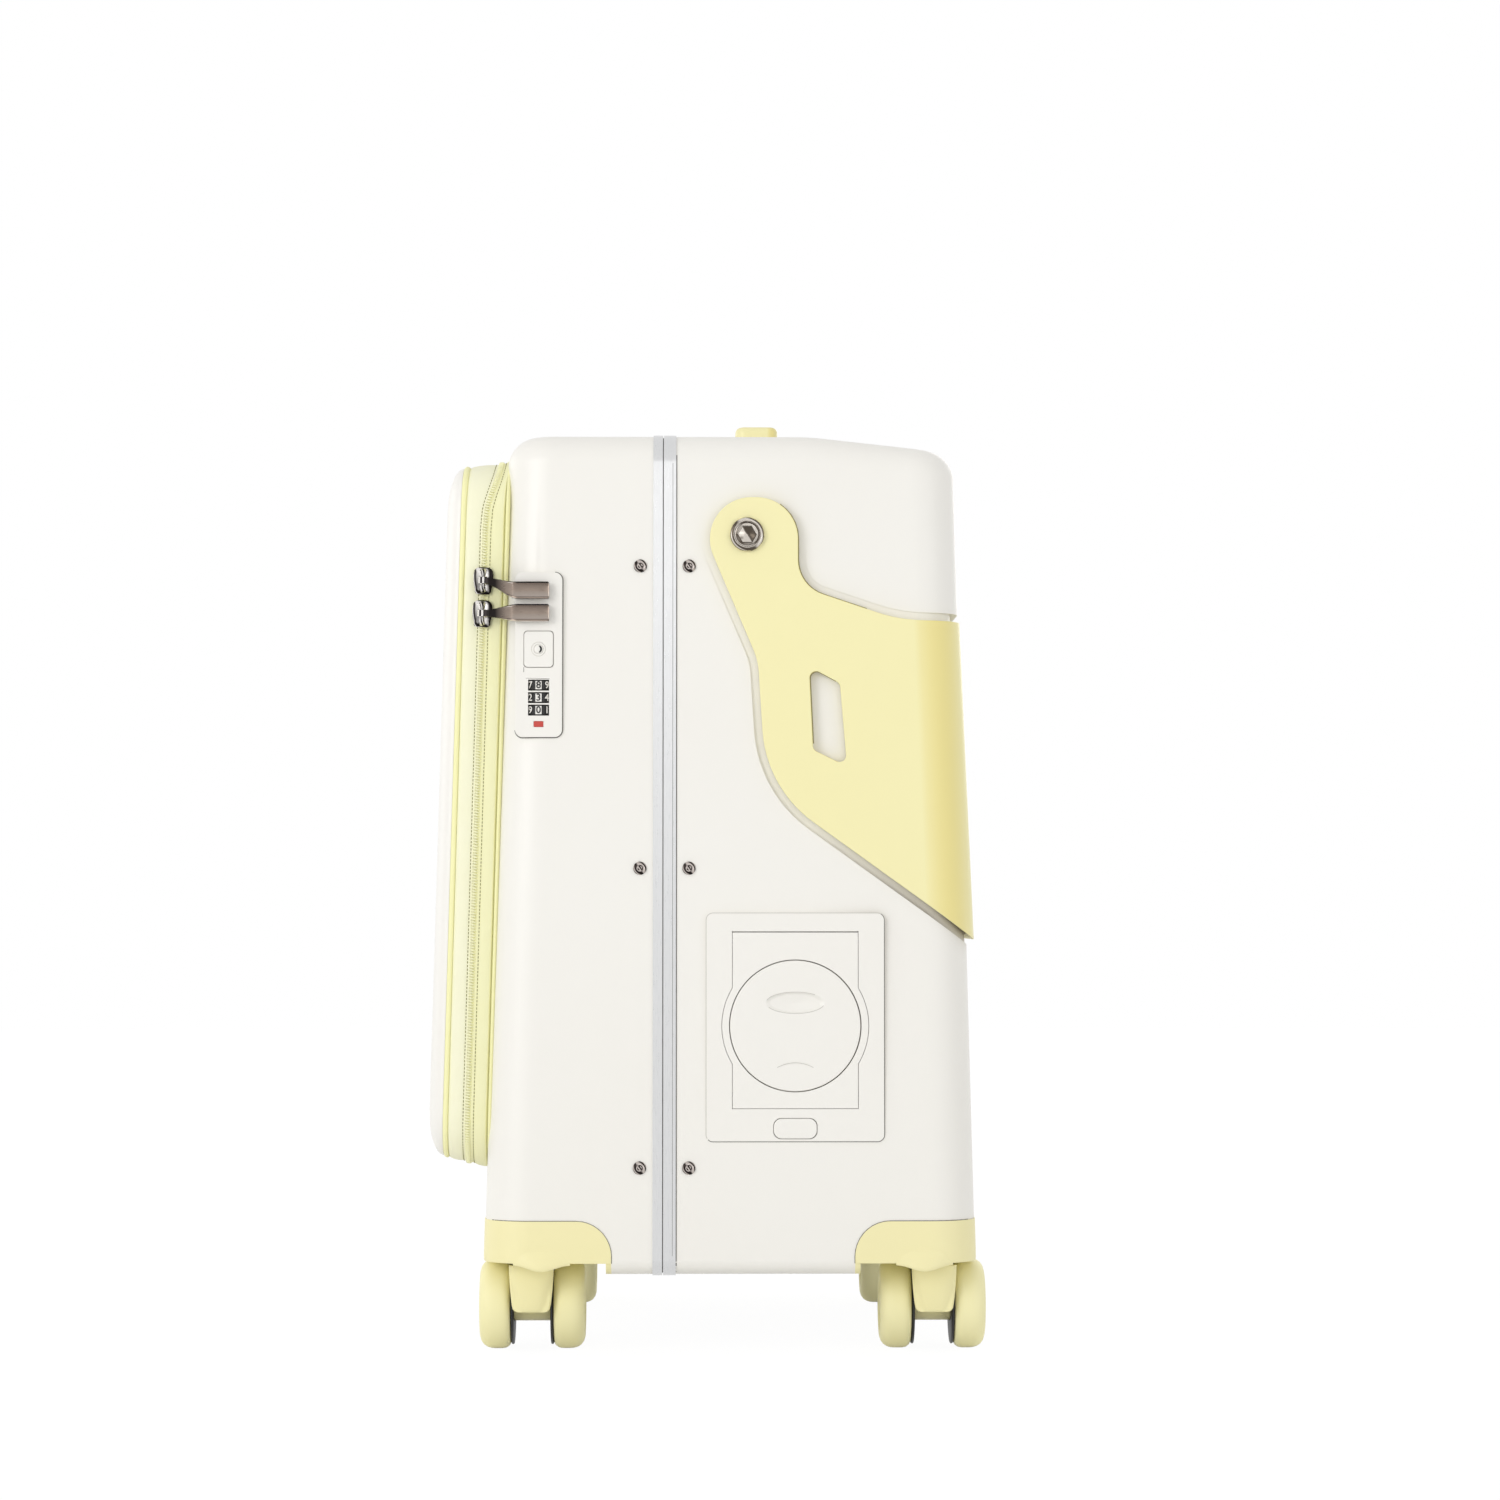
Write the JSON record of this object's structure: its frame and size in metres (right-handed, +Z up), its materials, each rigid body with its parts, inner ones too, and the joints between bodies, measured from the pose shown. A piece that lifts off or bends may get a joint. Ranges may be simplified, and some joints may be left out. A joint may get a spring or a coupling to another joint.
{
  "type": "ride-on suitcase",
  "caption": "Upright hard-shell child's ride-on suitcase with a zipped front lid, swinging seat rail, fold-out cup holder, pull handle and swivel casters.",
  "frame": {"origin": "on the floor under the middle of the whole case", "axes": "+Z up, +X towards the back of the case, -Y towards the side with the lock and cup holder"},
  "size_m": [0.3374, 0.3778, 0.566],
  "materials": {
    "shell_white": "fine satin off-white moulding",
    "rail_yellow": "smooth satin butter-yellow moulding",
    "guard_yellow": "smooth satin butter-yellow moulding",
    "fork_yellow": "satin butter-yellow moulding",
    "wheel_yellow": "matt butter-yellow tread",
    "fabric_yellow": "close weave polyester tape",
    "piping_yellow": "woven piping",
    "zip_teeth": "moulded coil teeth",
    "gunmetal": "dark nickel plate",
    "frame_aluminium": "satin anodised",
    "rivet_steel": "polished steel",
    "bolt_steel": "turned bright steel",
    "bright_steel": "plain steel",
    "seal_rubber": "dark extruded seal",
    "bush_plastic": "plain acetal",
    "dial_black": "black with pale figures",
    "indicator_red": "red tell-tale"
  },
  "bodies": {
    "case": {"pivot_bolts": "bolt_steel", "pivot_nuts": "bright_steel", "front_near_corner_guard": "guard_yellow", "front_far_corner_guard": "guard_yellow", "back_near_corner_guard": "guard_yellow", "back_far_corner_guard": "guard_yellow", "swivel_bearings": "bright_steel", "front_frame": "frame_aluminium", "rear_frame": "frame_aluminium", "frame_seal": "seal_rubber", "frame_rivets": "rivet_steel", "zip_tape_case": "fabric_yellow", "zip_teeth_case": "zip_teeth", "lid_hinge_strip": "fabric_yellow", "lock_plate": "shell_white", "lock_indicator": "indicator_red", "cup_bezel": "shell_white", "cup_pins": "bright_steel", "trolley_foot": "bush_plastic", "trolley_housing": "shell_white", "trolley_outer_tubes": "frame_aluminium", "carry_tray": "shell_white", "front_shell": "shell_white", "rear_shell": "shell_white"},
    "rail": {"rail_band": "rail_yellow", "rail_bushes": "bush_plastic"},
    "lid": {"lid_shell": "shell_white", "lid_band": "fabric_yellow", "lid_piping": "piping_yellow", "zip_teeth_lid": "zip_teeth"},
    "upper_slider": {"upper_zip_slider": "gunmetal"},
    "lower_slider": {"lower_zip_slider": "gunmetal"},
    "upper_pull": {"upper_zip_pull": "gunmetal"},
    "lower_pull": {"lower_zip_pull": "gunmetal"},
    "lock_release": {"lock_button": "shell_white"},
    "key_barrel": {"key_core": "rivet_steel"},
    "dial_1": {"lock_dial_1": "dial_black"},
    "dial_2": {"lock_dial_2": "dial_black"},
    "dial_3": {"lock_dial_3": "dial_black"},
    "cup_ring_plate": {"cup_ring": "shell_white"},
    "cup_base_plate": {"cup_base": "shell_white"},
    "cup_release": {"cup_button": "shell_white"},
    "trolley_middle": {"trolley_middle_tubes": "frame_aluminium"},
    "trolley_top": {"trolley_inner_tubes": "frame_aluminium", "trolley_grip": "rail_yellow"},
    "trolley_release": {"trolley_button": "rail_yellow"},
    "carry_grip": {"carry_handle": "rail_yellow"},
    "front_near_swivel": {"front_near_fork": "fork_yellow"},
    "front_near_wheelset": {"front_near_wheels": "wheel_yellow", "front_near_axle": "bright_steel"},
    "front_far_swivel": {"front_far_fork": "fork_yellow"},
    "front_far_wheelset": {"front_far_wheels": "wheel_yellow", "front_far_axle": "bright_steel"},
    "back_near_swivel": {"back_near_fork": "fork_yellow"},
    "back_near_wheelset": {"back_near_wheels": "wheel_yellow", "back_near_axle": "bright_steel"},
    "back_far_swivel": {"back_far_fork": "fork_yellow"},
    "back_far_wheelset": {"back_far_wheels": "wheel_yellow", "back_far_axle": "bright_steel"}
  },
  "joints": [
    {"name": "rail_swing", "type": "hinge", "parent": "case", "child": "rail", "pos_m": [0.02404, 0, 0.4914], "axis": [0, -1, 0], "range_deg": [0, 174]},
    {"name": "lid_hinge", "type": "hinge", "parent": "case", "child": "lid", "pos_m": [-0.13903, 0.16359, 0.32626], "axis": [-0.0268, 0, -0.9996], "range_deg": [0, 110]},
    {"name": "upper_slider_run", "type": "slide", "parent": "case", "child": "upper_slider", "axis": [0.0268, 0, 0.9996], "range_m": [0, 0.028]},
    {"name": "lower_slider_run", "type": "slide", "parent": "case", "child": "lower_slider", "axis": [0.0268, 0, 0.9996], "range_m": [-0.285, 0]},
    {"name": "upper_pull_swing", "type": "hinge", "parent": "upper_slider", "child": "upper_pull", "pos_m": [-0.13532, -0.17139, 0.46483], "axis": [-0.0268, 0, -0.9996], "range_deg": [0, 110]},
    {"name": "lower_pull_swing", "type": "hinge", "parent": "lower_slider", "child": "lower_pull", "pos_m": [-0.13586, -0.17139, 0.44483], "axis": [-0.0268, 0, -0.9996], "range_deg": [0, 110]},
    {"name": "lock_release_press", "type": "slide", "parent": "case", "child": "lock_release", "axis": [0, 1, 0], "range_m": [0, 0.0015], "stiffness_N_per_m": 300},
    {"name": "key_turn", "type": "hinge", "parent": "lock_release", "child": "key_barrel", "pos_m": [-0.10106, -0.18408, 0.4224], "axis": [0, 1, 0], "range_deg": [0, 90]},
    {"name": "cup_ring_fold", "type": "hinge", "parent": "case", "child": "cup_ring_plate", "pos_m": [0.05284, -0.18397, 0.247], "axis": [-1, 0, 0], "range_deg": [0, 90]},
    {"name": "cup_base_fold", "type": "hinge", "parent": "case", "child": "cup_base_plate", "pos_m": [0.05284, -0.17922, 0.1555], "axis": [1, 0, 0], "range_deg": [0, 90]},
    {"name": "cup_release_press", "type": "slide", "parent": "case", "child": "cup_release", "axis": [0, 1, 0], "range_m": [0, 0.002], "stiffness_N_per_m": 300},
    {"name": "trolley_middle_slide", "type": "slide", "parent": "case", "child": "trolley_middle", "axis": [0, 0, 1], "range_m": [0, 0.24]},
    {"name": "trolley_top_slide", "type": "slide", "parent": "trolley_middle", "child": "trolley_top", "axis": [0, 0, 1], "range_m": [0, 0.24]},
    {"name": "trolley_release_press", "type": "slide", "parent": "trolley_top", "child": "trolley_release", "axis": [0, 0, -1], "range_m": [0, 0.002], "stiffness_N_per_m": 300},
    {"name": "carry_lift", "type": "slide", "parent": "case", "child": "carry_grip", "axis": [0, 0, 1], "range_m": [0, 0.014]},
    {"name": "dial_1_turn", "type": "hinge", "parent": "case", "child": "dial_1", "pos_m": [-0.10106, -0.17518, 0.4008], "axis": [0, 0, 1], "continuous": true},
    {"name": "dial_2_turn", "type": "hinge", "parent": "case", "child": "dial_2", "pos_m": [-0.10106, -0.17518, 0.3933], "axis": [0, 0, 1], "continuous": true},
    {"name": "dial_3_turn", "type": "hinge", "parent": "case", "child": "dial_3", "pos_m": [-0.10106, -0.17518, 0.3858], "axis": [0, 0, 1], "continuous": true},
    {"name": "front_near_swivel_turn", "type": "hinge", "parent": "case", "child": "front_near_swivel", "pos_m": [-0.10536, -0.147, 0.0555], "axis": [0, 0, 1], "continuous": true},
    {"name": "front_near_wheel_roll", "type": "hinge", "parent": "front_near_swivel", "child": "front_near_wheelset", "pos_m": [-0.10536, -0.135, 0.027], "axis": [1, 0, 0], "continuous": true},
    {"name": "front_far_swivel_turn", "type": "hinge", "parent": "case", "child": "front_far_swivel", "pos_m": [-0.10536, 0.147, 0.0555], "axis": [0, 0, 1], "continuous": true},
    {"name": "front_far_wheel_roll", "type": "hinge", "parent": "front_far_swivel", "child": "front_far_wheelset", "pos_m": [-0.10536, 0.135, 0.027], "axis": [1, 0, 0], "continuous": true},
    {"name": "back_near_swivel_turn", "type": "hinge", "parent": "case", "child": "back_near_swivel", "pos_m": [0.13694, -0.147, 0.0555], "axis": [0, 0, 1], "continuous": true},
    {"name": "back_near_wheel_roll", "type": "hinge", "parent": "back_near_swivel", "child": "back_near_wheelset", "pos_m": [0.13694, -0.135, 0.027], "axis": [1, 0, 0], "continuous": true},
    {"name": "back_far_swivel_turn", "type": "hinge", "parent": "case", "child": "back_far_swivel", "pos_m": [0.13694, 0.147, 0.0555], "axis": [0, 0, 1], "continuous": true},
    {"name": "back_far_wheel_roll", "type": "hinge", "parent": "back_far_swivel", "child": "back_far_wheelset", "pos_m": [0.13694, 0.135, 0.027], "axis": [1, 0, 0], "continuous": true}
  ],
  "couplings": [
    {"joint": "cup_base_fold", "follows": "cup_ring_fold", "ratio": 1}
  ]
}
